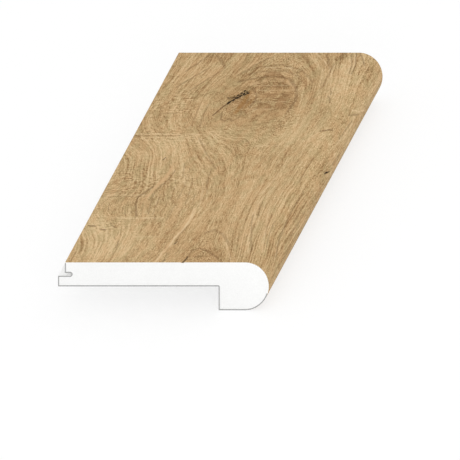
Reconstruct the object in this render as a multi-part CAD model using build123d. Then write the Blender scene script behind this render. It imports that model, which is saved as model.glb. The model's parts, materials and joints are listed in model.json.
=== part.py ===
from build123d import *

import os

# A flush stair nosing: one profile of constant section. Its thin flange lies on the tread, level with
# the floor that plugs into the groove in its back edge, and its thick nose hangs over the front of the
# step. All sizes are in millimetres.

# The frame's origin is the inside corner where the flange's underside meets the back of the nose, at
# the middle of the length. +X points out of the step, +Y runs along it and +Z is up.

# Driving dimensions
LENGTH = 130.0  # along the step, between the two square-cut ends
FLANGE_THICKNESS = 13.0  # the thickness of the floor that it lies flush with
SEAT_DEPTH = 87.0  # the flange's underside, from the back of the nose to the lower lip's face
NOSE_HEIGHT = 25.9  # from the top face to the underside of the nose
NOSE_DEPTH = 27.2  # from the back of the nose to its tip
UPPER_LIP_THICKNESS = 5.7  # above the groove
UPPER_LIP_SETBACK = 3.7  # the upper lip's face lies this far behind the lower lip's
GROOVE_HEIGHT = 1.5  # takes the tongue of the next floor plank
GROOVE_DEPTH = 3.6  # from the upper lip's face to the groove's rounded end

# Heights of the section's level lines
top_z = FLANGE_THICKNESS
seat_z = 0.0
nose_bottom_z = top_z - NOSE_HEIGHT
groove_top_z = top_z - UPPER_LIP_THICKNESS
groove_bottom_z = groove_top_z - GROOVE_HEIGHT

# The bullnose is a half round over the whole height of the nose.
bullnose_radius = NOSE_HEIGHT / 2
bullnose_centre_x = NOSE_DEPTH - bullnose_radius
bullnose_centre_z = top_z - bullnose_radius

# The groove ends in a half round over its whole height.
lower_lip_x = -SEAT_DEPTH
upper_lip_x = lower_lip_x + UPPER_LIP_SETBACK
groove_end_radius = GROOVE_HEIGHT / 2
groove_end_x = upper_lip_x + GROOVE_DEPTH
groove_straight_x = groove_end_x - groove_end_radius
groove_middle_z = groove_bottom_z + groove_end_radius


def nosing_section():
    """The outline of the section in the XZ plane, drawn clockwise from the upper lip's top edge."""
    with BuildSketch(Plane.XZ) as section:
        with BuildLine():
            tread_line = Line((upper_lip_x, top_z), (bullnose_centre_x, top_z))
            bullnose = ThreePointArc(
                tread_line @ 1,
                (NOSE_DEPTH, bullnose_centre_z),
                (bullnose_centre_x, nose_bottom_z),
            )
            underside = Polyline(
                bullnose @ 1,
                (0, nose_bottom_z),
                (0, seat_z),
                (lower_lip_x, seat_z),
                (lower_lip_x, groove_bottom_z),
                (groove_straight_x, groove_bottom_z),
            )
            groove_end = ThreePointArc(
                underside @ 1,
                (groove_end_x, groove_middle_z),
                (groove_straight_x, groove_top_z),
            )
            Polyline(groove_end @ 1, (upper_lip_x, groove_top_z), tread_line @ 0)
        make_face()
    return section.sketch


def stair_nosing():
    """The section run along the length, half of it to each side of the origin."""
    return extrude(nosing_section(), amount=LENGTH / 2, both=True)


os.makedirs("parts", exist_ok=True)
export_step(stair_nosing(), "parts/stair_nosing.step")
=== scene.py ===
import json
import math

import bmesh
import bpy
import numpy as np
from mathutils import Matrix, Vector


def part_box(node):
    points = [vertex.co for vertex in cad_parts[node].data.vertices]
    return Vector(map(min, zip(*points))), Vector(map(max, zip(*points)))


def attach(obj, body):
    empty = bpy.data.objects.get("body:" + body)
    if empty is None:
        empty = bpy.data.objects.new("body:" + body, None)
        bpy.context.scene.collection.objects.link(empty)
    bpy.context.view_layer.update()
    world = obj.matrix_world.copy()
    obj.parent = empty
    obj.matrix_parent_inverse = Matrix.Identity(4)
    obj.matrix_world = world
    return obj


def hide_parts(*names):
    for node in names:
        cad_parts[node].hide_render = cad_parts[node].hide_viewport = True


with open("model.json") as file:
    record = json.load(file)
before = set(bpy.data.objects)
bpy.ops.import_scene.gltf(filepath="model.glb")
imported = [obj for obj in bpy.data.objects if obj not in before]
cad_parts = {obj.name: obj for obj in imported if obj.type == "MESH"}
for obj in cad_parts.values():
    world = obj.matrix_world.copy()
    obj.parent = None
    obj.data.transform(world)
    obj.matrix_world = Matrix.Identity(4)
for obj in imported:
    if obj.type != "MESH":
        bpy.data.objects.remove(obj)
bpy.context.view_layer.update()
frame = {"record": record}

# Lengths below are in millimetres unless their comment says otherwise, and MM turns them into metres.
MM = 0.001

# The profile, read from the frame, in metres
node_low, node_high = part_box("stair_nosing")
mount_points = {mount["name"]: mount["pos_m"] for mount in frame["record"]["mounts"]}
near_y = node_low.y
length = node_high.y - node_low.y
top_z = node_high.z
seat_z = mount_points["tread_seat"][2]
nose_bottom_z = node_low.z
nose_back_x = mount_points["step_front_stop"][0]
lower_lip_x = node_low.x
upper_lip_x, _, upper_lip_middle_z = mount_points["plank_edge_stop"]
groove_middle_z = mount_points["plank_groove"][2]
groove_top_z = 2 * upper_lip_middle_z - top_z
groove_bottom_z = 2 * groove_middle_z - groove_top_z
groove_radius = (groove_top_z - groove_bottom_z) / 2
bullnose_radius = (top_z - nose_bottom_z) / 2
bullnose_x = node_high.x - bullnose_radius
bullnose_z = top_z - bullnose_radius

# Details of the profile that the frame doesn't give
GROOVE_DEPTH = 3.6  # from the upper lip's face to the round end of the groove
CORNER_EASE = 0.3  # the small round on the profile's long corners
CORNER_SEGMENTS = 3
END_SHADE_RIM_WIDTH = 0.65  # the grey line of painted shade around the cut ends
FACE_STEPS = 170  # spans across the flat of the oak face
BULLNOSE_STEPS = 70
GROOVE_STEPS = 10
LENGTH_STEPS = 230
OAK_LAST_ANGLE = 107.0  # degrees round the bullnose from its top, to where the grey line of painted shade starts
SHARP_ANGLE = 40.0  # degrees; edges that turn by more are shaded as sharp
RELIEF_FADE = 2.0  # the relief of the oak face fades out over this distance at both its edges

# Material slots, in the order in which the finishes are added; the third is the grey line of painted shade on
# the cut ends
FILM, CORE, SHADE_RIM = range(3)

# The grain of the oak face. A place on it is given as (across, along): millimetres from the back of the
# nose, unrolled over the bullnose, and millimetres from the near end.
# Each knot is its centre, its half width and half height, how close its rings lie and which way they
# count, and how far its pith lies to the right of its middle, as a share of its half width. The last two
# lie past the left edge, so only their outer rings show.
KNOTS = [
    {"centre": (-24.5, 99.0), "half": (22.0, 25.0), "rings": 0.9, "pith": 0.35},
    {"centre": (-38.5, 88.5), "half": (4.5, 4.5), "rings": 1.0, "pith": 0.0},
    {"centre": (-13.0, -12.0), "half": (12.0, 19.0), "rings": 0.8, "pith": 0.0},
    {"centre": (-95.0, 58.0), "half": (25.0, 18.0), "rings": -1.0, "pith": 0.0},
    {"centre": (-108.0, -4.0), "half": (40.0, 36.0), "rings": -1.0, "pith": 0.0},
]
PITH_REACH = 0.6  # the share of a knot, from its middle, in which the pith draws the rings to its side
EDGE_BLEND = 0.08  # the share of a knot over which its rings pass into the lines around it
PARTING = 10  # how sharply the lines part round a knot
# A knot isn't quite round: a number of lobes, their height as a share of the knot, and their phase in radians
KNOT_LOBES = [
    (3, 0.06, 0.7),
    (5, 0.04, 2.0),
]
# The slow wave of the grain lines, from one crest to the next along and across
WAVE_HEIGHT = 0.9
WAVE_ALONG = 58.0
WAVE_ACROSS = 120.0
WAVE_PHASE = 0.4  # radians
# Bends, where the lines shift on their way to the near end: middle and half width across, start and end
# along, and the shift, which is to the right where it is positive
GRAIN_BENDS = [
    (-24.0, 22.0, 80.0, 34.0, 8.0),
    (6.0, 20.0, 38.0, -10.0, 13.0),
    (-76.0, 26.0, 120.0, 76.0, -7.0),
    (-62.0, 12.0, 40.0, 22.0, 3.0),
    (23.0, 10.0, 20.0, -2.0, 6.0),
    (20.0, 10.0, 100.0, 82.0, -3.0),
    (8.0, 12.0, 50.0, 40.0, -2.0),
]
# Towards the bullnose the lines lean to the right, away from the near end.
BULLNOSE_LEAN = 0.17  # sideways for each millimetre along
LEAN_WIDTH = 42.0
LEAN_PIVOT = 40.0
# The whole figure leans to the left, away from the near end, about a place along it.
FIGURE_LEAN = 0.008
FIGURE_PIVOT = 48.0

# Patches of the oak face: centre, half width, half height, strength. The wood is darker in the brown ones
# and lighter in the pale ones, and the saw left short cross lines in the sawn ones. The grain is astir in the
# unquiet ones, and its rings stand out in the bold ones. The hue turns to rose in the warm ones and to olive
# in the olive ones.
BROWN_PATCHES = [
    ((-28.0, 106.0), 28.0, 25.0, 0.55),
    ((-12.0, 100.0), 6.0, 8.0, 0.8),
    ((-33.0, 98.0), 3.0, 8.0, 1.0),
    ((-58.0, 127.0), 9.0, 4.0, 0.45),
    ((7.5, 127.5), 3.0, 4.0, 0.75),
    ((29.0, 66.0), 4.0, 7.0, 0.35),
    ((-9.0, 4.0), 12.0, 6.0, 0.45),
    ((-66.0, 47.0), 17.0, 7.0, 0.15),
    ((24.0, 123.0), 6.0, 6.0, 0.25),
    ((-20.0, 109.5), 12.0, 3.0, 0.75),
    ((-12.0, 117.0), 11.0, 6.0, 0.45),
    ((-24.0, 17.0), 13.0, 13.0, 0.3),
    ((-24.0, 68.0), 10.0, 10.0, 0.2),
    ((30.0, 26.0), 7.0, 26.0, 0.2),
    ((-16.0, 85.0), 16.0, 6.0, 0.36),
    ((-40.0, 96.5), 3.0, 3.5, 0.65),
]
PALE_PATCHES = [
    ((-72.0, 14.0), 16.0, 14.0, 0.48),
    ((-62.0, 26.0), 12.0, 6.0, 0.25),
    ((-60.0, 72.0), 14.0, 7.0, 0.2),
    ((14.0, 113.0), 9.0, 14.0, 0.55),
    ((21.0, 48.0), 9.0, 16.0, 0.1),
    ((-24.0, 125.0), 9.0, 4.0, 0.15),
    ((14.0, 77.0), 11.0, 6.0, 0.2),
    ((-72.0, 70.0), 9.0, 9.0, 0.2),
    ((-54.0, 97.0), 6.0, 9.0, 0.25),
    ((2.0, 80.0), 7.0, 9.0, 0.25),
    ((-42.0, 78.0), 9.0, 6.0, 0.25),
    ((-50.0, 111.0), 8.0, 6.0, 0.25),
    ((-24.0, 24.0), 8.0, 8.0, 0.2),
    ((-64.0, 53.0), 7.0, 6.0, 0.3),
    ((25.0, 53.0), 6.0, 8.0, 0.25),
    ((-5.0, 38.0), 2.5, 13.0, 0.3),
]
SAWN_PATCHES = [
    ((-74.0, 51.0), 13.0, 9.0, 1.0),
    ((-70.0, 98.0), 15.0, 7.0, 0.9),
    ((-66.0, 78.0), 20.0, 5.0, 0.9),
    ((-36.0, 80.0), 12.0, 4.0, 0.7),
    ((-18.0, 103.0), 14.0, 5.0, 0.9),
    ((-70.0, 23.0), 14.0, 5.0, 0.9),
    ((-60.0, 51.0), 9.0, 7.0, 0.9),
    ((-47.0, 50.5), 8.0, 5.0, 1.0),
    ((-40.0, 75.0), 10.0, 5.0, 0.8),
    ((-3.0, 87.0), 8.0, 6.0, 0.8),
    ((-66.0, 102.0), 10.0, 6.0, 1.0),
]
UNQUIET_PATCHES = [
    ((-22.0, 96.0), 17.0, 13.0, 1.0),
    ((-16.0, 82.0), 18.0, 5.0, 0.8),
    ((-38.0, 92.0), 9.0, 9.0, 0.9),
    ((-46.0, 107.0), 8.0, 9.0, 0.7),
]
WARM_PATCHES = [
    ((-26.0, 18.0), 18.0, 16.0, 1.0),
    ((-8.0, 32.0), 14.0, 28.0, 0.7),
    ((-12.0, 2.0), 20.0, 10.0, 0.9),
    ((-16.0, 100.0), 18.0, 15.0, 0.8),
    ((-68.0, 120.0), 16.0, 9.0, 0.7),
    ((-62.0, 92.0), 8.0, 8.0, 0.6),
]
OLIVE_PATCHES = [
    ((-14.0, 78.0), 24.0, 7.0, 0.9),
    ((10.0, 92.0), 12.0, 10.0, 0.6),
    ((-72.0, 20.0), 16.0, 9.0, 0.9),
    ((-62.0, 46.0), 22.0, 12.0, 0.3),
]
BOLD_RING_PATCHES = [
    ((-70.0, 10.0), 18.0, 13.0, 1.0),
    ((-66.0, 62.0), 16.0, 14.0, 0.8),
    ((-20.0, 117.0), 22.0, 9.0, 0.9),
    ((-2.0, 108.0), 9.0, 18.0, 0.9),
    ((-42.0, 122.0), 10.0, 9.0, 0.7),
    ((15.0, 26.0), 20.0, 34.0, 0.8),
    ((14.0, 118.0), 14.0, 16.0, 0.8),
    ((-40.0, 66.0), 16.0, 12.0, 0.45),
    ((-66.0, 116.0), 18.0, 16.0, 0.45),
]

# Marks on the oak face, from the lowest layer to the highest. A family has a colour as it shows on a
# screen and the depth it is pressed in. Its strokes have a strength, a half width and the places they pass
# through. A shaken family wanders a little. A worn one comes and goes, over that distance across and along.
MARKS = {
    "pale_saw_marks": {
        "colour": (226, 198, 155), "depth": 0.05, "shaken": False, "worn": (3.0, 0.8),
        "strokes": [
            (0.5, 0.45, [(-83.0, 79.6), (-45.0, 79.4)]),
            (0.45, 0.4, [(-78.0, 77.3), (-52.0, 77.5)]),
            (0.4, 0.4, [(-76.0, 75.5), (-47.0, 75.6)]),
            (0.7, 0.45, [(-67.0, 27.4), (-44.0, 27.6)]),
            (0.3, 0.4, [(-79.0, 28.3), (-67.0, 28.0)]),
            (0.45, 0.4, [(-82.0, 41.8), (-55.0, 41.9)]),
            (0.7, 0.4, [(-31.0, 120.7), (-17.0, 120.5)]),
            (0.5, 0.4, [(-14.0, 72.2), (-2.0, 72.6)]),
            (0.3, 0.4, [(-56.0, 15.8), (-38.0, 16.0)]),
            (0.35, 0.4, [(-31.0, 109.5), (-10.0, 109.7)]),
            (0.3, 0.4, [(-29.0, 106.6), (-8.0, 106.8)]),
            (0.3, 0.4, [(-27.0, 99.4), (-8.0, 99.6)]),
            (0.3, 0.4, [(-35.0, 94.9), (-14.0, 95.1)]),
        ],
    },
    "rosy_bands": {
        "colour": (211, 174, 129), "depth": 0.0, "shaken": True, "worn": None,
        "strokes": [
            (0.8, 1.15, [(-58.0, 40.5), (-56.2, 47.0), (-53.4, 53.0), (-53.0, 58.0)]),
            (0.3, 1.0, [(-53.0, 58.0), (-54.6, 64.0)]),
            (0.4, 0.8, [(-58.0, 40.5), (-57.0, 36.0), (-54.8, 29.0)]),
            (0.6, 0.9, [(-34.6, 0.0), (-32.0, 12.0), (-29.6, 24.0), (-28.2, 29.0), (-28.6, 33.0)]),
        ],
    },
    "pale_bands": {
        "colour": (214, 179, 134), "depth": 0.0, "shaken": True, "worn": (2.2, 2.6),
        "strokes": [
            (0.6, 1.1, [(-34.0, 110.3), (-26.0, 113.2), (-17.0, 112.8), (-11.0, 109.6)]),
            (0.35, 1.0, [(-11.0, 109.6), (-6.5, 104.0)]),
            (0.35, 0.8, [(-33.0, 116.4), (-25.0, 117.4), (-16.0, 116.8)]),
            (0.45, 0.7, [(-75.0, 109.5), (-69.0, 115.5), (-63.5, 121.0)]),
            (0.4, 0.7, [(-67.0, 107.0), (-61.0, 113.5), (-55.0, 119.5)]),
            (0.45, 0.6, [(-75.0, 119.0), (-70.5, 124.0), (-67.0, 129.0)]),
            (0.45, 0.6, [(-50.0, 97.0), (-49.8, 90.0), (-48.2, 84.0)]),
            (0.4, 0.6, [(-54.6, 99.0), (-54.0, 91.0), (-53.2, 85.0)]),
            (0.45, 0.8, [(-46.0, 116.0), (-38.0, 124.0), (-31.0, 128.5)]),
            (0.35, 0.7, [(-43.0, 121.5), (-36.0, 127.5)]),
            (0.4, 1.3, [(0.5, 42.0), (4.0, 47.0), (9.0, 49.0)]),
            (0.45, 1.1, [(4.5, 39.0), (3.8, 30.0), (4.0, 20.0), (6.5, 10.0)]),
            (0.4, 1.0, [(10.5, 32.0), (14.5, 24.0), (15.5, 15.0), (19.5, 8.0)]),
            (0.4, 1.0, [(26.5, 47.0), (27.0, 36.0), (26.0, 24.0), (28.0, 14.0)]),
        ],
    },
    "pale_streaks": {
        "colour": (224, 195, 152), "depth": 0.0, "shaken": True, "worn": (1.4, 5.0),
        "strokes": [
            (0.8, 0.75, [(-35.0, 0.0), (-33.9, 5.0), (-31.6, 10.0), (-31.3, 15.0)]),
            (0.9, 0.9, [(-31.3, 15.0), (-29.2, 21.0), (-28.0, 26.0), (-28.8, 33.0)]),
            (0.5, 0.6, [(-28.8, 33.0), (-27.6, 37.0), (-29.4, 43.0), (-31.6, 50.0)]),
            (0.5, 0.55, [(2.0, 42.0), (4.2, 46.5), (6.0, 52.0), (7.0, 64.0)]),
            (0.5, 0.55, [(7.2, 26.5), (4.8, 31.0), (4.2, 36.0), (5.2, 41.0), (8.0, 47.0)]),
            (0.55, 0.5, [(-2.0, 12.0), (3.0, 5.0), (6.5, 0.0)]),
            (0.5, 0.5, [(3.6, 31.0), (6.0, 25.0), (9.0, 14.0), (13.0, 6.0)]),
            (0.5, 0.5, [(11.0, 33.0), (14.0, 25.0), (16.0, 18.0), (20.0, 8.0)]),
            (0.8, 0.5, [(27.5, 100.5), (31.0, 104.0), (35.0, 108.5)]),
            (0.65, 0.5, [(31.5, 97.0), (30.0, 88.0), (28.5, 81.0)]),
            (0.7, 0.5, [(9.5, 129.5), (13.0, 124.0), (14.8, 117.0)]),
            (0.7, 0.5, [(13.0, 129.5), (15.8, 124.0), (16.8, 118.0)]),
            (0.6, 0.5, [(17.6, 129.5), (20.8, 124.5), (22.0, 122.6)]),
            (0.65, 0.5, [(-8.0, 129.5), (-1.0, 124.6), (4.0, 119.8)]),
            (0.5, 0.45, [(5.8, 122.0), (6.8, 110.0)]),
            (0.45, 0.5, [(31.0, 78.0), (29.5, 70.0)]),
            (0.45, 0.5, [(21.5, 32.0), (24.6, 24.0), (25.0, 16.0), (28.0, 10.0)]),
            (0.45, 0.5, [(0.5, 118.0), (-4.0, 123.0), (-10.0, 127.0)]),
            (0.4, 0.5, [(5.0, 104.0), (3.5, 112.0), (0.0, 120.0)]),
        ],
    },
    "dark_saw_marks": {
        "colour": (122, 92, 58), "depth": 0.06, "shaken": False, "worn": (3.0, 0.8),
        "strokes": [
            (0.4, 0.4, [(-82.0, 78.5), (-58.0, 78.5)]),
            (0.32, 0.4, [(-82.5, 40.7), (-58.0, 40.8)]),
            (0.35, 0.4, [(-82.5, 92.4), (-66.0, 92.5)]),
            (0.25, 0.4, [(-80.0, 89.8), (-58.0, 90.0)]),
            (0.25, 0.4, [(-80.0, 43.4), (-64.0, 43.5)]),
            (0.25, 0.4, [(-66.0, 25.6), (-46.0, 25.8)]),
            (0.25, 0.4, [(-30.0, 104.2), (-8.0, 104.4)]),
            (0.2, 0.4, [(-28.0, 101.6), (-6.0, 101.8)]),
        ],
    },
    "dark_streaks": {
        "colour": (108, 79, 47), "depth": 0.06, "shaken": True, "worn": None,
        "strokes": [
            (0.8, 0.5, [(-46.0, 91.2), (-43.4, 95.6), (-41.4, 98.8)]),
            (0.46, 0.65, [(-57.8, 47.0), (-61.0, 43.0), (-63.0, 40.0), (-62.0, 36.0), (-58.5, 29.0)]),
            (0.32, 0.45, [(-54.8, 46.0), (-55.2, 41.0), (-54.0, 36.0), (-52.4, 30.0)]),
            (0.38, 0.5, [(-54.4, 46.0), (-51.4, 51.5), (-50.4, 57.0)]),
            (0.32, 0.45, [(-51.5, 42.0), (-50.5, 36.0), (-50.2, 30.0)]),
            (0.3, 0.45, [(-47.4, 61.0), (-45.6, 56.5), (-44.2, 52.5)]),
            (0.22, 0.5, [(-41.4, 54.0), (-40.6, 42.0), (-40.6, 27.0)]),
            (0.25, 0.45, [(-38.6, 52.0), (-36.6, 45.0), (-35.2, 36.0)]),
            (0.3, 0.45, [(-31.2, 58.0), (-30.0, 50.0), (-26.8, 43.0)]),
            (0.3, 0.4, [(-32.8, 42.0), (-31.4, 36.0)]),
            (0.3, 0.45, [(20.4, 66.0), (19.6, 58.0), (19.8, 51.0)]),
            (0.3, 0.45, [(14.6, 30.0), (15.4, 24.0), (17.0, 17.0)]),
            (0.3, 0.45, [(18.0, 26.0), (18.6, 19.0), (20.2, 12.0)]),
            (0.35, 0.6, [(-32.0, 108.0), (-28.6, 104.5), (-27.2, 100.5), (-28.2, 96.0)]),
            (0.4, 0.5, [(-41.8, 92.4), (-40.6, 88.8), (-38.0, 87.6), (-36.0, 89.4)]),
            (0.35, 0.5, [(-36.0, 89.4), (-34.0, 87.6), (-31.0, 90.0), (-31.4, 93.0)]),
            (0.4, 0.55, [(-19.2, 3.0), (-18.0, 7.4), (-15.0, 8.8), (-10.5, 7.6), (-6.0, 5.2), (-1.5, 2.0)]),
            (0.28, 0.8, [(-16.0, 18.5), (-11.5, 20.0), (-7.0, 18.0), (-3.5, 15.0), (0.5, 10.5)]),
            (0.6, 0.35, [(-81.6, 22.9), (-77.2, 22.5)]),
            (0.6, 0.35, [(-74.3, 20.6), (-71.0, 20.2)]),
            (0.45, 0.35, [(-69.4, 23.0), (-66.0, 21.9)]),
            (0.5, 0.45, [(-60.9, 13.2), (-60.0, 9.0)]),
            (0.55, 0.45, [(16.8, 81.6), (19.0, 82.8), (22.5, 84.6)]),
            (0.35, 0.5, [(34.6, 82.5), (33.4, 77.5), (32.6, 73.0)]),
            (0.38, 0.6, [(-42.0, 112.0), (-34.0, 114.0), (-27.0, 115.3), (-20.0, 115.0), (-15.0, 113.6)]),
            (0.38, 0.9, [(-15.0, 113.6), (-8.5, 108.0), (-5.5, 101.0), (-6.5, 94.0)]),
            (0.25, 0.7, [(-40.0, 115.6), (-33.0, 118.2), (-20.0, 118.8), (-10.0, 115.0)]),
            (0.28, 0.6, [(-41.3, 117.8), (-34.6, 121.0), (-22.9, 122.6), (-10.6, 119.1), (-1.8, 111.9)]),
            (0.3, 0.5, [(-44.0, 115.8), (-36.5, 123.4), (-30.0, 127.5)]),
            (0.3, 0.5, [(-47.0, 77.0), (-38.0, 67.0), (-29.0, 58.0)]),
            (0.3, 0.5, [(8.0, 24.0), (10.0, 15.0), (14.0, 8.0)]),
            (0.4, 0.5, [(24.5, 48.0), (23.5, 38.0), (24.0, 25.0), (25.0, 18.0), (28.0, 11.0)]),
            (0.4, 0.5, [(31.0, 42.0), (31.0, 35.0), (30.0, 30.0), (31.0, 25.0)]),
            (0.4, 0.5, [(26.5, 97.0), (29.0, 99.5), (31.5, 102.5)]),
            (0.35, 0.45, [(30.0, 97.0), (28.7, 88.0), (28.2, 84.0)]),
            (0.45, 0.5, [(16.0, 129.5), (18.5, 127.0), (21.0, 124.0)]),
            (0.4, 0.5, [(14.0, 129.0), (17.0, 122.0), (17.0, 117.0)]),
            (0.4, 0.45, [(10.0, 108.0), (12.0, 104.0)]),
            (0.4, 0.45, [(11.0, 103.0), (14.0, 99.0)]),
            (0.35, 0.5, [(5.0, 123.0), (5.0, 108.0)]),
            (0.35, 0.5, [(11.4, 129.0), (14.6, 123.0), (15.8, 117.0)]),
            (0.35, 0.5, [(-2.0, 129.0), (1.6, 124.0), (3.6, 120.0)]),
            (0.35, 0.5, [(-73.6, 108.8), (-67.6, 114.8), (-61.6, 120.6)]),
            (0.3, 0.5, [(-65.6, 106.4), (-59.8, 113.0), (-54.0, 118.8)]),
            (0.35, 0.5, [(-73.4, 118.4), (-69.0, 123.4), (-65.6, 128.4)]),
            (0.35, 0.7, [(-60.4, 127.6), (-57.0, 124.6), (-53.4, 121.0)]),
            (0.3, 0.5, [(-51.4, 98.0), (-51.2, 90.0), (-49.8, 84.0)]),
            (0.25, 0.5, [(-56.0, 99.0), (-55.4, 92.0), (-54.6, 84.0)]),
            (0.35, 0.5, [(4.6, 29.0), (6.2, 24.0), (8.8, 18.5), (11.0, 13.0), (14.0, 7.0)]),
            (0.3, 0.5, [(6.4, 37.0), (6.2, 33.0), (8.0, 28.0)]),
            (0.25, 0.5, [(-30.0, 11.0), (-29.6, 17.0), (-27.4, 23.0)]),
        ],
    },
    "stains": {
        "colour": (156, 110, 54), "depth": 0.0, "shaken": True, "worn": None,
        "strokes": [
            (0.5, 1.5, [(-33.0, 105.0), (-33.2, 99.0), (-34.4, 93.5)]),
            (0.35, 1.0, [(-29.0, 101.5), (-31.0, 95.0)]),
        ],
    },
    "bruise": {
        "colour": (98, 74, 40), "depth": 0.08, "shaken": True, "worn": (0.9, 0.9),
        "strokes": [
            (0.8, 1.3, [(-40.6, 100.6), (-37.6, 103.4), (-34.0, 105.4)]),
            (0.6, 0.7, [(-42.6, 101.6), (-39.8, 103.4)]),
        ],
    },
    "checks": {
        "colour": (34, 20, 2), "depth": 0.4, "shaken": True, "worn": None,
        "strokes": [
            (0.7, 0.35, [(-42.0, 98.6), (-39.0, 101.6), (-36.4, 103.8), (-33.2, 105.3)]),
            (1.0, 0.8, [(-41.4, 99.0), (-40.9, 99.6)]),
            (1.0, 0.6, [(-39.6, 100.8), (-39.2, 101.2)]),
            (1.0, 0.6, [(-38.4, 102.2), (-38.0, 102.6)]),
            (0.9, 0.5, [(-38.6, 103.6), (-38.2, 104.0)]),
            (1.0, 0.6, [(-37.0, 103.4), (-36.6, 103.8)]),
            (0.9, 0.5, [(-37.2, 105.0), (-36.8, 105.3)]),
            (1.0, 0.6, [(-35.8, 104.7), (-35.4, 105.0)]),
            (0.9, 0.5, [(-35.9, 106.2), (-35.5, 106.4)]),
            (0.95, 0.55, [(-33.9, 105.2), (-33.1, 105.3)]),
            (0.8, 0.45, [(-40.4, 102.2), (-40.0, 102.6)]),
            (0.8, 0.45, [(-39.2, 102.6), (-38.9, 102.9)]),
            (0.85, 0.45, [(-37.6, 102.0), (-37.2, 102.3)]),
            (0.85, 0.45, [(-34.9, 104.0), (-34.5, 104.2)]),
            (0.8, 0.4, [(-34.6, 106.0), (-34.2, 106.2)]),
            (0.5, 0.4, [(-43.2, 102.3), (-42.2, 102.0)]),
            (0.75, 0.45, [(-20.0, 0.0), (-18.9, 3.4)]),
            (0.95, 0.55, [(31.2, 66.6), (32.4, 68.2)]),
            (0.7, 0.35, [(30.5, 65.4), (33.4, 69.4)]),
            (0.6, 0.4, [(-60.2, 63.8), (-59.6, 65.0)]),
            (0.6, 0.4, [(-29.6, 11.8), (-29.0, 13.0)]),
            (0.5, 0.4, [(-31.2, 0.6), (-30.4, 1.6)]),
        ],
    },
}
RING_PITCH = 2.2  # from one growth ring to the next, where the grain lines run straight
RING_DEPTH = 0.03  # of the swell that follows the rings
STROKE_EDGE = (1.3, 0.4)  # where a stroke's colour starts and where it is full, in half widths off its middle

# The fine figure of the oak. A cell is the distance over which a noise changes. On the grain lines it is given
# across the lines, along them, and for a share of the distance across the face, so that two lines with the
# same count, to the left and right of a knot, still differ.
SIDE_SHARE = 0.1
FIBRE_CELL = (0.55, 2.6, 9.0)
PORE_CELL = (0.5, 3.2, 9.0)
THREAD_CELL = (1.0, 24.0, 30.0)
BROAD_LINE_CELL = (2.4, 45.0, 30.0)
BAND_CELL = (7.0, 120.0, 60.0)
# On the face it is given across, along, and in depth, which plays no part.
MOTTLE_CELL = (24.0, 30.0, 10.0)
SPECKLE_CELL = (0.6, 0.7, 1.0)
RULED_CELL = (2.8, 0.75, 5.0)
BLOTCH_CELL = (3.5, 2.5, 3.0)
HUE_CELL = (4.5, 6.0, 5.0)
# How the lines and the shaken marks are moved about: over which distance, and how far
SWAY_CELL, SWAY = (11.0, 14.0, 11.0), (2.6, 0.0, 0.0)
TREMOR_CELL, TREMOR = (3.2, 8.0, 3.2), (1.2, 0.0, 0.0)
STIR_CELL, STIR = (7.0, 7.0, 7.0), (14.0, 0.0, 0.0)
SHAKE_CELL, SHAKE = (2.5, 2.5, 2.5), (1.2, 1.2, 0.0)
MIDDLE_TONE = 0.53  # of plain wood, where 0 is the darkest and 1 the palest

# The core's faint lines along its length, its soft clouds, and the grit of the grey painted shade line around
# its ends
DRAWN_LINE_CELL = (0.7, 90.0, 0.7)
CLOUD_CELL = (18.0, 24.0, 18.0)
SHADE_RIM_GRIT_CELL = (1.1, 1.1, 1.1)


def srgb(red, green, blue):
    """A colour given as it shows on a screen, 0 to 255, as the linear colour that a shader takes."""
    shares = [value / 255 for value in (red, green, blue)]
    linear = [s / 12.92 if s <= 0.04045 else ((s + 0.055) / 1.055) ** 2.4 for s in shares]
    return (*linear, 1.0)


# The profile's mesh


class Pen:
    """Draws the section's outline in the XZ plane at the near end, one operator a stroke."""

    def __init__(self, bm, x, z):
        self.bm = bm
        self.tip = bmesh.ops.create_vert(bm, co=(x, near_y, z))["vert"][0]
        self.start = self.tip

    def line_to(self, x, z, steps=1):
        stride = (Vector((x, near_y, z)) - self.tip.co) / steps
        for _ in range(steps):
            drawn = bmesh.ops.extrude_vert_indiv(self.bm, verts=[self.tip])["verts"]
            bmesh.ops.translate(self.bm, verts=drawn, vec=stride)
            self.tip = drawn[0]

    def half_round(self, x, z, turn, steps):
        """A half round about a centre; turn is 1 from +X towards -Z and -1 the other way."""
        drawn = bmesh.ops.spin(
            self.bm,
            geom=[self.tip],
            cent=(x, near_y, z),
            axis=(0, 1, 0),
            angle=turn * math.pi,
            steps=steps,
        )["geom_last"]
        self.tip = next(part for part in drawn if isinstance(part, bmesh.types.BMVert))

    def close(self):
        bmesh.ops.contextual_create(self.bm, geom=[self.tip, self.start])
        return bmesh.ops.contextual_create(self.bm, geom=self.bm.edges[:])["faces"][0]


def draw_section(bm):
    """The near end's face: top, bullnose, underside, back edge with its groove, and the upper lip."""
    groove_straight_x = upper_lip_x + GROOVE_DEPTH * MM - groove_radius
    pen = Pen(bm, upper_lip_x, top_z)
    pen.line_to(bullnose_x, top_z, FACE_STEPS)
    pen.half_round(bullnose_x, bullnose_z, 1, BULLNOSE_STEPS)
    corners = [pen.start]
    for x, z in [
        (nose_back_x, nose_bottom_z),
        (nose_back_x, seat_z),
        (lower_lip_x, seat_z),
        (lower_lip_x, groove_bottom_z),
    ]:
        pen.line_to(x, z)
        corners.append(pen.tip)
    pen.line_to(groove_straight_x, groove_bottom_z)
    pen.half_round(groove_straight_x, groove_middle_z, -1, GROOVE_STEPS)
    pen.line_to(upper_lip_x, groove_top_z)
    corners.append(pen.tip)
    pen.close()
    bmesh.ops.bevel(
        bm,
        geom=corners,
        offset=CORNER_EASE * MM,
        segments=CORNER_SEGMENTS,
        profile=0.5,
        affect="VERTICES",
        material=-1,
    )


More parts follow.
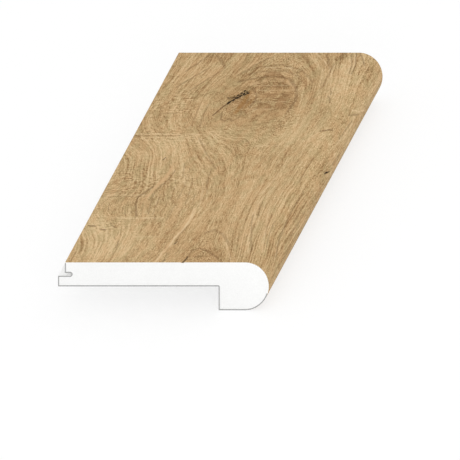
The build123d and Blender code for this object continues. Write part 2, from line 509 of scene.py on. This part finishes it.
def lay_unrolled_lengths(bm):
    """Gives each point of the outline its distance around the section, and returns the whole distance.

    It starts just under the upper lip's top corner.
    """
    unrolled = bm.verts.layers.float.new("unrolled")
    bm.faces.ensure_lookup_table()
    start = Vector((upper_lip_x, near_y, top_z - CORNER_EASE * MM))
    loop = min(bm.faces[0].loops, key=lambda corner: (corner.vert.co - start).length)
    forwards = loop.link_loop_next.vert.co.z > loop.vert.co.z
    distance = 0.0
    for _ in bm.faces[0].loops:
        loop.vert[unrolled] = distance
        following = loop.link_loop_next if forwards else loop.link_loop_prev
        distance += (following.vert.co - loop.vert.co).length
        loop = following
    return distance


# The unrolled distances, in metres, at which the flat of the top face starts and at which the film ends
# behind the nose
flat_start = math.pi / 2 * CORNER_EASE * MM
film_end = flat_start + bullnose_x - upper_lip_x + math.pi * bullnose_radius + bullnose_x - nose_back_x
film_end -= 2 * CORNER_EASE * MM


def on_cut_end(face):
    return abs(face.normal.y) > 0.9


def build_profile():
    """The section run along the length, with its finishes' slots, the painted shade lines on the ends and the
    bake map.
    """
    bm = bmesh.new()
    draw_section(bm)
    girth = lay_unrolled_lengths(bm)
    grown = bmesh.ops.extrude_face_region(bm, geom=bm.faces[:], use_keep_orig=True)["geom"]
    far_verts = [part for part in grown if isinstance(part, bmesh.types.BMVert)]
    bmesh.ops.translate(bm, verts=far_verts, vec=(0, length, 0))
    long_edges = [e for e in bm.edges if abs(e.verts[0].co.y - e.verts[1].co.y) > length / 2]
    bmesh.ops.subdivide_edges(bm, edges=long_edges, cuts=LENGTH_STEPS - 1)
    bmesh.ops.recalc_face_normals(bm, faces=bm.faces[:])
    paint_sides(bm)
    for end in [face for face in bm.faces if on_cut_end(face)]:
        paint_shade_rim(bm, end)
    lay_bake_map(bm, girth)
    mesh = bpy.data.meshes.new("oak_faced_nosing")
    bm.to_mesh(mesh)
    bm.free()
    mesh.set_sharp_from_angle(angle=math.radians(SHARP_ANGLE))
    return mesh


def paint_sides(bm):
    """Gives the film and the core their material slots, all round the profile."""
    unrolled = bm.verts.layers.float["unrolled"]
    for face in bm.faces:
        face.smooth = True
        reached = [vert[unrolled] for vert in face.verts]
        face.material_index = FILM if max(reached) < film_end else CORE


# The corners of the section that point outwards: X and Z in metres, and 1 where the material lies above the
# corner or -1 where it lies below
OUTWARD_CORNERS = [
    (upper_lip_x, top_z, -1),
    (nose_back_x, nose_bottom_z, 1),
    (lower_lip_x, seat_z, 1),
    (lower_lip_x, groove_bottom_z, -1),
    (upper_lip_x, groove_top_z, 1),
]


def paint_shade_rim(bm, end):
    """Rims a cut end with a grey line of painted shade, except along the oak."""
    width = END_SHADE_RIM_WIDTH * MM
    rim = bmesh.ops.inset_region(
        bm, faces=[end], thickness=width, use_even_offset=True, use_boundary=True
    )["faces"]
    for face in rim:
        # The flat rim away from the oak is painted grey as shade along the end's edges.
        face.material_index = CORE if borders_oak(face) else SHADE_RIM
    end.material_index = CORE
    # The painted shade line is wider than the corners' round, so its inner edge meets in one point there.
    corner_reach = 0.7 * width
    welds = {}
    for x, z, up in OUTWARD_CORNERS:
        inner = Vector((x + width, end.verts[0].co.y, z + up * width))
        gathered = [vert for vert in end.verts if (vert.co - inner).length < corner_reach]
        gathered[0].co = inner
        welds.update((vert, gathered[0]) for vert in gathered[1:])
    bmesh.ops.weld_verts(bm, targetmap=welds)


def borders_oak(face):
    """Whether a piece of a cut end's rim lies along the top or the upper part of the half round."""
    middle = face.calc_center_median()
    if middle.x < bullnose_x:
        return middle.z > top_z - 1.5 * END_SHADE_RIM_WIDTH * MM
    return math.atan2(middle.x - bullnose_x, middle.z - bullnose_z) < math.radians(OAK_LAST_ANGLE)


# The layout of the bake map, in shares of its side: the film's width, the core's sides at a smaller scale
# to the right of it, and the two ends above it
FILM_SHARE = 0.72
CORE_SCALE = 0.45
BAKE_MARGIN = 0.005
CORE_LEFT = 0.735
NEAR_END_BOTTOM = 0.65
FAR_END_BOTTOM = 0.81


def lay_bake_map(bm, girth):
    """Lays the film, the core's sides and the two ends side by side on one map, none over another."""
    chart = bm.loops.layers.uv.new("OFBake")
    unrolled = bm.verts.layers.float["unrolled"]
    scale = FILM_SHARE / film_end
    for face in bm.faces:
        end_bottom = NEAR_END_BOTTOM if face.normal.y < 0 else FAR_END_BOTTOM
        for corner in face.loops:
            place = corner.vert.co
            around = corner.vert[unrolled]
            if on_cut_end(face):
                spot = (scale * (place.x - lower_lip_x), end_bottom + scale * (place.z - nose_bottom_z))
            elif face.material_index == FILM:
                spot = (scale * around, scale * (place.y - near_y))
            else:
                past_film = (around if around > 0 else girth) - film_end
                spot = (CORE_LEFT + CORE_SCALE * scale * past_film, CORE_SCALE * scale * (place.y - near_y))
            corner[chart].uv = (spot[0] + BAKE_MARGIN, spot[1] + BAKE_MARGIN)


# The oak face


def smooth_step(value):
    """0 below 0, 1 past 1, smooth between."""
    clipped = np.clip(value, 0, 1)
    return clipped * clipped * (3 - 2 * clipped)


def grain_lines(across, along):
    """Ring and reach: which grain line a place lies on, and how far along it, both in millimetres.

    The lines run along the step, wave slowly, part round each knot and close to rings inside it.
    """
    ring = across.copy()
    reach = along.copy()
    ring += WAVE_HEIGHT * np.sin(2 * np.pi * (along / WAVE_ALONG + across / WAVE_ACROSS) + WAVE_PHASE)
    for knot in KNOTS:
        half_across, half_along = knot["half"]
        right = (across - knot["centre"][0]) / half_across
        ahead = (along - knot["centre"][1]) / half_along
        turn = np.arctan2(ahead, right)
        lobes = 1.0
        for count, height, phase in KNOT_LOBES:
            lobes = lobes + height * np.sin(count * turn + phase)
        distance = np.hypot(right, ahead) * lobes
        pull = knot["pith"] * np.clip(1 - distance / PITH_REACH, 0, 1)
        from_pith = np.hypot(right - pull, ahead) * lobes
        inside = 0.5 * (1 - from_pith + np.hypot(1 - from_pith, EDGE_BLEND))
        spread = (1 + distance**PARTING) ** (2 / PARTING)
        ring += half_across * (knot["rings"] * inside - right / spread)
        reach += half_along * ahead / spread
    for middle, half_width, start, end, shift in GRAIN_BENDS:
        passed = smooth_step((start - along) / (start - end))
        near = np.exp(-(((across - middle) / half_width) ** 2))
        ring -= shift * passed * near
    ring -= BULLNOSE_LEAN * (along - LEAN_PIVOT) * smooth_step(across / LEAN_WIDTH)
    return ring, reach


def strongest(across, along, patches):
    """The strongest of some soft-edged patches at each place."""
    result = np.zeros_like(across)
    for (centre_across, centre_along), half_across, half_along, strength in patches:
        right = (across - centre_across) / half_across
        ahead = (along - centre_along) / half_along
        result = np.maximum(result, strength * np.exp(-((right**2 + ahead**2) ** 1.5)))
    return result


def stroke_share(across, along, start, end, half_width):
    """1 on a straight stroke, falling to 0 at twice its half width."""
    run_across, run_along = end[0] - start[0], end[1] - start[1]
    off_across, off_along = across - start[0], along - start[1]
    share = (off_across * run_across + off_along * run_along) / (run_across**2 + run_along**2)
    share = np.clip(share, 0, 1)
    distance = np.hypot(off_across - share * run_across, off_along - share * run_along)
    return smooth_step(2 - distance / half_width)


def pressed_in(across, along, ring):
    """How far the face lies below the flat: its marks, and a slow swell along the grain lines."""
    depth = RING_DEPTH * (0.5 + 0.5 * np.sin(2 * np.pi * ring / RING_PITCH))
    for family in MARKS.values():
        for strength, half_width, places in family["strokes"]:
            for start, end in zip(places, places[1:]):
                share = stroke_share(across, along, start, end, half_width)
                depth = np.maximum(depth, family["depth"] * strength * share)
    return depth


def crowding(across, along, ring):
    """How close the grain lines lie: 1 where they run straight, less where they spread out."""
    small = 0.05
    slope_across = (grain_lines(across + small, along)[0] - ring) / small
    slope_along = (grain_lines(across, along + small)[0] - ring) / small
    return np.clip(np.hypot(slope_across, slope_along), 0.1, 1)


def read_floats(collection, name, width):
    values = np.empty(len(collection) * width)
    collection.foreach_get(name, values)
    return values.reshape(-1, width)


def dress_face(mesh):
    """Stores each point's place on the face, its grain line and its patches, and presses the face in."""
    points = read_floats(mesh.vertices, "co", 3)
    unrolled = read_floats(mesh.attributes["unrolled"].data, "value", 1)[:, 0]
    across = (unrolled - flat_start + upper_lip_x) / MM + CORNER_EASE
    along = (points[:, 1] - near_y) / MM
    across += FIGURE_LEAN * (along - FIGURE_PIVOT)
    ring, reach = grain_lines(across, along)
    brown = strongest(across, along, BROWN_PATCHES) - strongest(across, along, PALE_PATCHES)
    sawn = strongest(across, along, SAWN_PATCHES)
    unquiet = strongest(across, along, UNQUIET_PATCHES)
    bold = strongest(across, along, BOLD_RING_PATCHES)
    warm = strongest(across, along, WARM_PATCHES) - strongest(across, along, OLIVE_PATCHES)
    for name, columns in [
        ("face", (across, along, 0 * across)),
        ("grain", (ring, reach, SIDE_SHARE * across)),
        ("patches", (brown, sawn, unquiet)),
        ("rings", (crowding(across, along, ring), bold, warm)),
    ]:
        attribute = mesh.attributes.new(name, "FLOAT_VECTOR", "POINT")
        attribute.data.foreach_set("vector", np.stack(columns, axis=1).ravel())
    inwards = -read_floats(mesh.vertices, "normal", 3) * (1, 0, 1)
    inwards /= np.maximum(np.linalg.norm(inwards, axis=1, keepdims=True), 1e-6)
    fade = RELIEF_FADE * MM
    on_film = smooth_step((unrolled - flat_start) / fade) * smooth_step((film_end - unrolled) / fade)
    depth = pressed_in(across, along, ring) * on_film * MM
    mesh.vertices.foreach_set("co", (points + inwards * depth[:, None]).ravel())
    mesh.update()


# Finishes


class Finish:
    """The nodes of a material, a node group or a world, written as short calls that hand on sockets."""

    def __init__(self, tree):
        self.tree = tree

    def feed(self, socket, value):
        if isinstance(value, bpy.types.NodeSocket):
            self.tree.links.new(value, socket)
        else:
            socket.default_value = value

    def node(self, kind, feeds=None, **settings):
        made = self.tree.nodes.new(kind)
        for name, value in settings.items():
            setattr(made, name, value)
        for name, value in (feeds or {}).items():
            self.feed(made.inputs[name], value)
        return made

    def surface(self, **feeds):
        """Sets the surface shader's sockets, named with underscores for spaces."""
        shader = self.tree.nodes["Principled BSDF"]
        for name, value in feeds.items():
            self.feed(shader.inputs[name.replace("_", " ")], value)

    def attribute(self, name):
        return self.node("ShaderNodeAttribute", attribute_name=name).outputs["Vector"]

    def object_place(self):
        """Object coordinates, in millimetres."""
        place = self.node("ShaderNodeTexCoord").outputs["Object"]
        return self.vector("DIVIDE", place, (MM, MM, MM))

    def math(self, operation, *values, clamp=False):
        feeds = dict(enumerate(values))
        return self.node("ShaderNodeMath", feeds, operation=operation, use_clamp=clamp).outputs[0]

    def vector(self, operation, *values, output="Vector"):
        feeds = dict(enumerate(values))
        return self.node("ShaderNodeVectorMath", feeds, operation=operation).outputs[output]

    def scaled(self, vector, share):
        feeds = {0: vector, "Scale": share}
        return self.node("ShaderNodeVectorMath", feeds, operation="SCALE").outputs["Vector"]

    def noise(self, place, cell, detail=2.0, roughness=0.5, output="Fac"):
        """Noise whose cells measure that many millimetres on each axis."""
        in_cells = self.vector("DIVIDE", place, cell)
        feeds = {"Vector": in_cells, "Scale": 1.0, "Detail": detail, "Roughness": roughness}
        return self.node("ShaderNodeTexNoise", feeds).outputs[output]

    def step(self, value, start, end):
        """0 below start, 1 past end, smooth between."""
        feeds = {"Value": value, "From Min": start, "From Max": end}
        made = self.node("ShaderNodeMapRange", feeds, interpolation_type="SMOOTHSTEP", clamp=False)
        return made.outputs["Result"]

    def swing(self, value, amount):
        """A noise value turned into a swing about zero."""
        return self.math("MULTIPLY", self.math("SUBTRACT", value, 0.5), amount)

    def total(self, *values):
        result = values[0]
        for value in values[1:]:
            result = self.math("ADD", result, value)
        return result

    def ramp(self, value, stops):
        made = self.node("ShaderNodeValToRGB", {"Fac": value})
        elements = made.color_ramp.elements
        while len(elements) < len(stops):
            elements.new(0.5)
        for element, (position, colour) in zip(elements, stops):
            element.position = position
            element.color = colour
        return made.outputs["Color"]

    def mix(self, share, first, second):
        """A colour between two others; the mix node keeps its colour sockets behind those of other kinds."""
        feeds = {0: share, 6: first, 7: second}
        return self.node("ShaderNodeMix", feeds, data_type="RGBA").outputs[2]

    def mix_places(self, share, first, second):
        feeds = {0: share, 4: first, 5: second}
        return self.node("ShaderNodeMix", feeds, data_type="VECTOR").outputs[1]

    def parts(self, vector):
        return self.node("ShaderNodeSeparateXYZ", {0: vector}).outputs

    def bump(self, height, strength, depth):
        feeds = {"Height": height, "Strength": strength, "Distance": depth * MM}
        return self.node("ShaderNodeBump", feeds).outputs["Normal"]


def new_finish(name):
    material = bpy.data.materials.new(name)
    material.use_nodes = True
    return material, Finish(material.node_tree)


def stroke_group():
    """A node group: 1 on a straight stroke from one place to another, 0 off it, with a soft edge.

    It sets no clamp option: the renderer works those out last and runs short of room for many strokes.
    """
    group = bpy.data.node_groups.new("stroke", "ShaderNodeTree")
    for name, kind in [("Place", "Vector"), ("From", "Vector"), ("To", "Vector"), ("Half Width", "Float")]:
        group.interface.new_socket(name, in_out="INPUT", socket_type="NodeSocket" + kind)
    group.interface.new_socket("Cover", in_out="OUTPUT", socket_type="NodeSocketFloat")
    inner = Finish(group)
    given = inner.node("NodeGroupInput").outputs
    run = inner.vector("SUBTRACT", given["To"], given["From"])
    offset = inner.vector("SUBTRACT", given["Place"], given["From"])
    passed = inner.vector("DOT_PRODUCT", offset, run, output="Value")
    whole = inner.vector("DOT_PRODUCT", run, run, output="Value")
    share = inner.math("MINIMUM", inner.math("MAXIMUM", inner.math("DIVIDE", passed, whole), 0.0), 1.0)
    nearest = inner.scaled(run, share)
    distance = inner.vector("DISTANCE", offset, nearest, output="Value")
    cover = inner.step(inner.math("DIVIDE", distance, given["Half Width"]), *STROKE_EDGE)
    inner.node("NodeGroupOutput", {"Cover": cover})
    return group


def wobbled(finish, place, source, cell, amount, share=1.0):
    """A place moved about by noise, by up to about half the amount on each axis, or a share of that."""
    noise = finish.noise(source, cell, output="Color")
    swing = finish.vector("SUBTRACT", noise, (0.5, 0.5, 0.5))
    moved = finish.scaled(finish.vector("MULTIPLY", swing, amount), share)
    return finish.vector("ADD", place, moved)


def oak_film():
    """The oak surface of the top and the bullnose."""
    material, oak = new_finish("oak_film")
    face = oak.attribute("face")
    patches = oak.parts(oak.attribute("patches"))
    rings = oak.parts(oak.attribute("rings"))
    lines = oak_lines(oak, face, rings["X"], patches["Z"])
    fibre = oak.noise(lines, FIBRE_CELL, roughness=0.65)
    tone = oak_tone(oak, face, lines, fibre, patches, rings)
    colour = oak_colour(oak, face, lines, tone, rings["Z"])
    colour = marked(oak, face, colour)
    roughness = oak.math("MULTIPLY_ADD", fibre, -0.25, 0.75)
    normal = oak.bump(tone, 0.25, 0.12)
    oak.surface(Base_Color=colour, Roughness=roughness, Specular_IOR_Level=0.12, Normal=normal)
    return material


def oak_lines(oak, face, crowded, unquiet):
    """The grain line and the place along it, a little unsteady, and astir inside the large knot."""
    lines = wobbled(oak, oak.attribute("grain"), face, SWAY_CELL, SWAY, crowded)
    lines = wobbled(oak, lines, face, TREMOR_CELL, TREMOR, crowded)
    stirred = wobbled(oak, lines, face, STIR_CELL, STIR)
    return oak.mix_places(oak.math("MULTIPLY", unquiet, 0.7), lines, stirred)


def growth_rings(oak, lines):
    """Each ring from its dark early wood, 0, to its pale late wood, 1, with a sharp edge between rings."""
    return oak.math("FRACT", oak.math("DIVIDE", oak.parts(lines)["X"], RING_PITCH))


def oak_tone(oak, face, lines, fibre, patches, rings):
    """How light the wood is: 0 for the darkest, 1 for the palest."""
    brown, sawn, unquiet = patches
    crowded, bold, _ = rings
    threads = oak.noise(lines, THREAD_CELL, detail=1.0)
    broad = oak.noise(lines, BROAD_LINE_CELL, detail=1.0)
    bands = oak.noise(lines, BAND_CELL, detail=1.0)
    mottle = oak.noise(face, MOTTLE_CELL)
    speckle = oak.noise(face, SPECKLE_CELL, detail=1.0)
    ruled = oak.noise(face, RULED_CELL)
    blotches = oak.noise(face, BLOTCH_CELL)
    growth = oak.total(
        oak.swing(growth_rings(oak, lines), 0.5),
        oak.swing(threads, 0.7),
        oak.swing(broad, 0.8),
    )
    along_grain = oak.total(
        oak.math("MULTIPLY", oak.swing(fibre, 1.8), oak.math("MULTIPLY_ADD", bold, -0.3, 1.0)),
        oak.swing(threads, 0.6),
        oak.swing(broad, 0.5),
        oak.math("MULTIPLY", growth, bold),
    )
    clear = oak.math("MULTIPLY_ADD", crowded, 0.6, 0.4)
    calm = oak.math("MULTIPLY_ADD", unquiet, -0.85, 1.0)
    return oak.total(
        MIDDLE_TONE,
        oak.math("MULTIPLY", along_grain, oak.math("MULTIPLY", clear, calm)),
        oak.math("MULTIPLY", oak.swing(speckle, 2.0), oak.math("SUBTRACT", 1.6, crowded)),
        oak.math("MULTIPLY", oak.swing(blotches, 1.3), unquiet),
        oak.swing(bands, 0.5),
        oak.swing(mottle, 0.4),
        oak.math("MULTIPLY", oak.swing(ruled, 2.4), sawn),
        oak.math("MULTIPLY", brown, -0.62),
    )


def oak_colour(oak, face, lines, tone, warm):
    """The wood's colour for its tone, with dark pores, and turned to rose or to olive here and there."""
    colour = oak.ramp(
        tone,
        [
            (0.0, srgb(138, 105, 66)),
            (0.25, srgb(170, 138, 95)),
            (0.5, srgb(191, 161, 116)),
            (0.75, srgb(207, 177, 132)),
            (1.0, srgb(223, 194, 150)),
        ],
    )
    pores = oak.step(oak.noise(lines, PORE_CELL), 0.58, 0.72)
    colour = oak.mix(oak.math("MULTIPLY", pores, 0.55), colour, srgb(126, 95, 58))
    hue = oak.total(oak.swing(oak.noise(face, HUE_CELL), 1.7), oak.math("MULTIPLY", warm, 0.2))
    rosy = oak.step(hue, -0.05, 0.35)
    olive = oak.step(hue, 0.05, -0.35)
    colour = oak.mix(oak.math("MULTIPLY", rosy, 0.3), colour, srgb(202, 160, 114))
    return oak.mix(oak.math("MULTIPLY", olive, 0.3), colour, srgb(178, 161, 116))


def marked(oak, face, colour):
    """Lays the families of marks over a colour, one after another."""
    stroke = stroke_group()
    shaken = wobbled(oak, face, face, SHAKE_CELL, SHAKE)
    for family in MARKS.values():
        cover = 0.0
        place = shaken if family["shaken"] else face
        for strength, half_width, places in family["strokes"]:
            for start, end in zip(places, places[1:]):
                feeds = {"Place": place, "From": (*start, 0), "To": (*end, 0), "Half Width": half_width}
                drawn = oak.node("ShaderNodeGroup", feeds, node_tree=stroke).outputs["Cover"]
                cover = oak.math("MAXIMUM", cover, oak.math("MULTIPLY", drawn, strength))
        if family["worn"]:
            left = oak.step(oak.noise(face, (*family["worn"], 1.0)), 0.3, 0.6)
            cover = oak.math("MULTIPLY", cover, left)
        colour = oak.mix(cover, colour, srgb(*family["colour"]))
    return colour


def pale_core():
    """The rigid core: near white, drawn out along the step, so faint lines run that way."""
    material, core = new_finish("pale_core")
    place = core.object_place()
    drawn_lines = core.noise(place, DRAWN_LINE_CELL)
    cloud = core.noise(place, CLOUD_CELL)
    shade = core.total(0.5, core.swing(drawn_lines, 1.2), core.swing(cloud, 0.6))
    colour = core.ramp(shade, [(0.0, srgb(244, 244, 243)), (1.0, srgb(254, 254, 253))])
    roughness = core.math("MULTIPLY_ADD", drawn_lines, 0.2, 0.5)
    normal = core.bump(drawn_lines, 0.15, 0.05)
    core.surface(Base_Color=colour, Roughness=roughness, Specular_IOR_Level=0.25, Normal=normal)
    return material


def painted_shade_rim():
    """Painted shade: a thin grey line around a cut end, standing in for the shade along its edges."""
    material, shade_rim_finish = new_finish("painted_shade_rim")
    grit = shade_rim_finish.noise(shade_rim_finish.object_place(), SHADE_RIM_GRIT_CELL)
    colour = shade_rim_finish.ramp(grit, [(0.25, srgb(158, 158, 157)), (0.75, srgb(180, 180, 179))])
    roughness = shade_rim_finish.math("MULTIPLY_ADD", grit, 0.2, 0.5)
    shade_rim_finish.surface(Base_Color=colour, Roughness=roughness, Specular_IOR_Level=0.25)
    return material


profile = bpy.data.objects.new("oak_faced_nosing", build_profile())
bpy.context.scene.collection.objects.link(profile)
dress_face(profile.data)
for make in (oak_film, pale_core, painted_shade_rim):
    profile.data.materials.append(make())
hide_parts("stair_nosing")
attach(profile, "root")

# Camera
PICTURE_SIDE = 460  # pixels
PIXELS_PER_MM = 1.846
# How far a point moves in the picture, right and up, for each millimetre that it lies further along
RECEDING = (0.4743, 0.8743)
PICTURE_CENTRE = (6.18, 30.56)  # the picture's middle on the plane of the near end, in X and Z
CAMERA_DISTANCE = 900.0


def oblique_camera():
    """A parallel view with the picture plane along the near end, so that end shows undistorted."""
    camera = bpy.data.objects.new("camera", bpy.data.cameras.new("camera"))
    camera.data.type = "ORTHO"
    camera.data.ortho_scale = PICTURE_SIDE / PIXELS_PER_MM * MM
    back = Vector((RECEDING[0], -1, RECEDING[1])).normalized()
    eye = Vector((PICTURE_CENTRE[0] * MM, near_y, PICTURE_CENTRE[1] * MM)) + back * CAMERA_DISTANCE * MM
    skewed = Matrix.Translation(eye) @ Matrix(
        ((1, 0, back.x, 0), (0, 0, back.y, 0), (0, 1, back.z, 0), (0, 0, 0, 1))
    )
    # A place and a turn can't hold a skewed view, so the camera takes it from its parent's inverse.
    rig = bpy.data.objects.new("camera_rig", None)
    for made in (rig, camera):
        bpy.context.scene.collection.objects.link(made)
    camera.parent = rig
    camera.matrix_parent_inverse = skewed
    bpy.context.scene.camera = camera


oblique_camera()

# Floor and light
FLOOR_SIDE = 4000.0
FLOOR_GREY = 0.86
FLOOR_LIFT = 0.68  # the share of plain white in the floor as the camera sees it; the rest keeps the shadow
FLOOR_WHITE = 1.08  # the strength of that white, a little over 1 to make up for the floor's grey
WORLD_STRENGTH = 0.93
SOFTBOX_SIZE = (1400.0, 900.0)
SOFTBOX_PLACE = (700.0, -1300.0, 600.0)
SOFTBOX_WATTS = 4.5


def seen_rays(finish):
    """1 for what the camera sees, straight, in a gloss or through glass, and 0 for light on the object."""
    rays = finish.node("ShaderNodeLightPath").outputs
    seen = finish.math("ADD", rays["Is Camera Ray"], rays["Is Glossy Ray"])
    return finish.math("ADD", seen, rays["Is Transmission Ray"], clamp=True)


def lay_floor():
    bm = bmesh.new()
    bmesh.ops.create_grid(bm, x_segments=1, y_segments=1, size=FLOOR_SIDE / 2 * MM)
    bmesh.ops.translate(bm, verts=bm.verts, vec=(0, 0, nose_bottom_z))
    mesh = bpy.data.meshes.new("floor")
    bm.to_mesh(mesh)
    bm.free()
    floor = bpy.data.objects.new("floor", mesh)
    bpy.context.scene.collection.objects.link(floor)
    mesh.materials.append(floor_white())


def floor_white():
    material, white = new_finish("floor_white")
    grey = (FLOOR_GREY, FLOOR_GREY, FLOOR_GREY, 1)
    white.surface(Base_Color=grey, Roughness=1.0, Specular_IOR_Level=0.0)
    lit = white.tree.nodes["Principled BSDF"].outputs[0]
    glow = {"Color": (1, 1, 1, 1), "Strength": FLOOR_WHITE}
    plain = white.node("ShaderNodeEmission", glow).outputs[0]
    lift = white.math("MULTIPLY", seen_rays(white), FLOOR_LIFT)
    mixed = white.node("ShaderNodeMixShader", {0: lift, 1: lit, 2: plain}).outputs[0]
    white.feed(white.tree.nodes["Material Output"].inputs["Surface"], mixed)
    return material


def light_studio():
    world = bpy.data.worlds.new("studio")
    world.use_nodes = True
    sky = Finish(world.node_tree)
    strength = sky.math("MULTIPLY_ADD", seen_rays(sky), 1 - WORLD_STRENGTH, WORLD_STRENGTH)
    background = world.node_tree.nodes["Background"]
    background.inputs["Color"].default_value = (1, 1, 1, 1)
    sky.feed(background.inputs["Strength"], strength)
    bpy.context.scene.world = world
    softbox = bpy.data.lights.new("front_softbox", "AREA")
    softbox.shape = "RECTANGLE"
    softbox.size = SOFTBOX_SIZE[0] * MM
    softbox.size_y = SOFTBOX_SIZE[1] * MM
    softbox.energy = SOFTBOX_WATTS
    lamp = bpy.data.objects.new("front_softbox", softbox)
    lamp.location = Vector(SOFTBOX_PLACE) * MM
    lamp.rotation_euler = (-lamp.location).to_track_quat("-Z", "Y").to_euler()
    bpy.context.scene.collection.objects.link(lamp)


lay_floor()
light_studio()
bpy.context.scene.view_settings.view_transform = "Standard"
